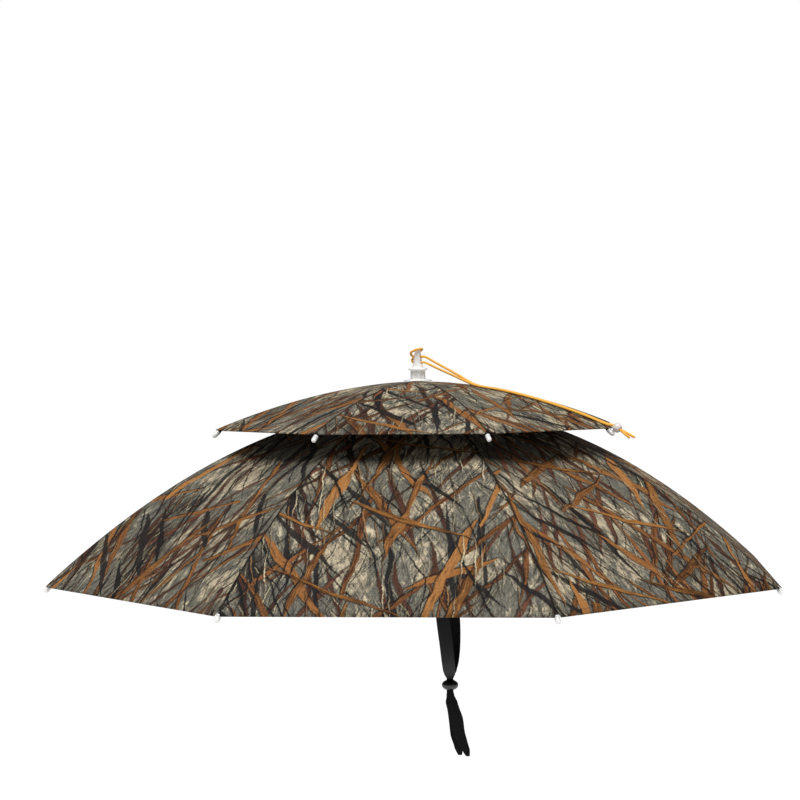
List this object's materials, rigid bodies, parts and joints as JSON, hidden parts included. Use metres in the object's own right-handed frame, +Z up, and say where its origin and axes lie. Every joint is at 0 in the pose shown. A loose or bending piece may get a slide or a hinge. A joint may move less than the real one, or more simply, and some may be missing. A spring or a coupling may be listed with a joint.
{
  "type": "two-tier camouflage umbrella hat",
  "caption": "Hands-free umbrella worn on the head: a wide ribbed canopy under a small vented one, finial with pull cord, cradle and head band, webbing chin strap with toggle",
  "frame": {"origin": "Centre of the head band at half its height, where the hat sits on a head", "axes": "+X points to the wearer's front, +Y to the wearer's left, +Z up along the post"},
  "size_m": [0.7224, 0.7224, 0.4306],
  "materials": {
    "canopy_cloth": "printed woven polyester, slightly glossy",
    "steel_wire": "plated wire",
    "clear_plastic": "milky translucent",
    "black_plastic": "moulded",
    "toggle_plastic": "polished",
    "elastic": "knitted elastic",
    "webbing": "flat woven ribbon",
    "elastic_cord": "braided cover"
  },
  "bodies": {
    "root": {"lower_canopy": "canopy_cloth", "upper_canopy": "canopy_cloth", "lower_rib_1": "steel_wire", "lower_rib_2": "steel_wire", "lower_rib_3": "steel_wire", "lower_rib_4": "steel_wire", "lower_rib_5": "steel_wire", "lower_rib_6": "steel_wire", "lower_rib_7": "steel_wire", "lower_rib_8": "steel_wire", "upper_rib_1": "steel_wire", "upper_rib_2": "steel_wire", "upper_rib_3": "steel_wire", "upper_rib_4": "steel_wire", "upper_rib_5": "steel_wire", "upper_rib_6": "steel_wire", "upper_rib_7": "steel_wire", "upper_rib_8": "steel_wire", "stretcher_1": "steel_wire", "stretcher_2": "steel_wire", "stretcher_3": "steel_wire", "stretcher_4": "steel_wire", "stretcher_5": "steel_wire", "stretcher_6": "steel_wire", "stretcher_7": "steel_wire", "stretcher_8": "steel_wire", "lower_cap_1": "clear_plastic", "lower_cap_2": "clear_plastic", "lower_cap_3": "clear_plastic", "lower_cap_4": "clear_plastic", "lower_cap_5": "clear_plastic", "lower_cap_6": "clear_plastic", "lower_cap_7": "clear_plastic", "lower_cap_8": "clear_plastic", "upper_cap_1": "clear_plastic", "upper_cap_2": "clear_plastic", "upper_cap_3": "clear_plastic", "upper_cap_4": "clear_plastic", "upper_cap_5": "clear_plastic", "upper_cap_6": "clear_plastic", "upper_cap_7": "clear_plastic", "upper_cap_8": "clear_plastic", "post": "steel_wire", "lower_crown": "black_plastic", "upper_crown": "black_plastic", "runner": "black_plastic", "finial": "clear_plastic", "head_cradle": "black_plastic", "head_band": "elastic", "chin_strap_left": "webbing", "chin_strap_right": "webbing", "strap_toggle": "toggle_plastic", "pull_cord": "elastic_cord", "cord_bead": "clear_plastic"}
  },
  "joints": []
}
